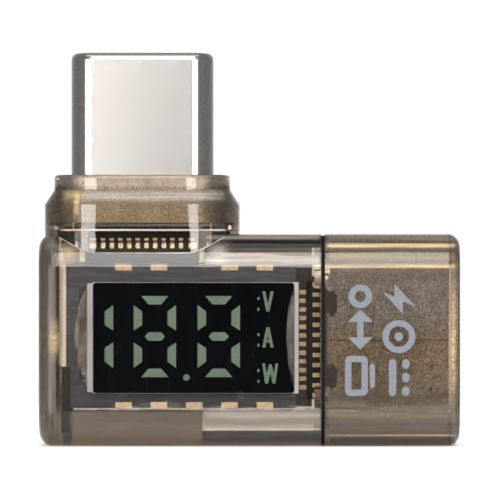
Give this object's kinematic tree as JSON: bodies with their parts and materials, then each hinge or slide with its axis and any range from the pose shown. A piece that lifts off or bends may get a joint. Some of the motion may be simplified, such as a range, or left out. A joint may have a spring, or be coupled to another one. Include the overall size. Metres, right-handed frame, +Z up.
{
  "type": "usb power meter",
  "caption": "Right-angle USB-C power meter: an L-shaped smoke-clear case with a metal plug on top, a socket in one end and a segment read-out for volts, amps and watts.",
  "frame": {"origin": "centre of the flat bottom face", "axes": "+X along the body towards the socket, +Y from the read-out to the back, +Z up along the plug"},
  "size_m": [0.0242, 0.0076, 0.0227],
  "materials": {
    "smoke_plastic": "polished smoke-clear polycarbonate",
    "plug_steel": "fine satin",
    "port_steel": "fine satin",
    "spring_steel": "plain",
    "gilt": "gold flash",
    "solder": "bright solder",
    "black_moulding": "moulded",
    "board_black": "solder mask",
    "board_grey": "solder mask",
    "white_moulding": "moulded",
    "black_film": "semi-gloss film",
    "segment_resin": "diffusing resin",
    "clear_glue": "clear glue",
    "ceramic": "ceramic body",
    "resistor_body": "glazed",
    "light_chip": "bare chip",
    "dark_seal": "moulded"
  },
  "bodies": {
    "meter": {"front_cover": "smoke_plastic", "rear_cover": "smoke_plastic", "end_sleeve": "smoke_plastic", "plug_shell": "plug_steel", "plug_front_contacts": "gilt", "plug_rear_contacts": "gilt", "latch_plate": "spring_steel", "ground_springs": "spring_steel", "plug_core": "black_moulding", "plug_solder": "solder", "port_shell": "port_steel", "port_front_contacts": "gilt", "port_rear_contacts": "gilt", "port_mid_plate": "spring_steel", "port_core": "black_moulding", "port_heels": "gilt", "port_rear_block": "black_moulding", "main_board": "board_black", "plug_rear_block": "black_moulding", "readout_board": "board_grey", "edge_pads": "gilt", "controller_chip": "resistor_body", "current_sensor": "resistor_body", "voltage_regulator": "resistor_body", "shunt_resistor": "resistor_body", "chip_leads": "solder", "ceramic_capacitors": "ceramic", "chip_resistors": "resistor_body", "digit_segments": "segment_resin", "unit_marks": "segment_resin", "light_chips": "light_chip", "readout_frame": "white_moulding", "readout_mask": "black_film", "clear_glue": "clear_glue", "seam_seal": "dark_seal"},
    "left_latch": {"left_latch_arm": "spring_steel"},
    "right_latch": {"right_latch_arm": "spring_steel"}
  },
  "joints": [
    {"name": "left_latch_flex", "type": "hinge", "parent": "meter", "child": "left_latch", "pos_m": [-0.00968, 0, 0.01625], "axis": [0, -1, 0], "range_deg": [0, 2], "stiffness_Nm_per_rad": 0.2},
    {"name": "right_latch_flex", "type": "hinge", "parent": "meter", "child": "right_latch", "pos_m": [-0.0027, 0, 0.01625], "axis": [0, 1, 0], "range_deg": [0, 2], "stiffness_Nm_per_rad": 0.2}
  ]
}
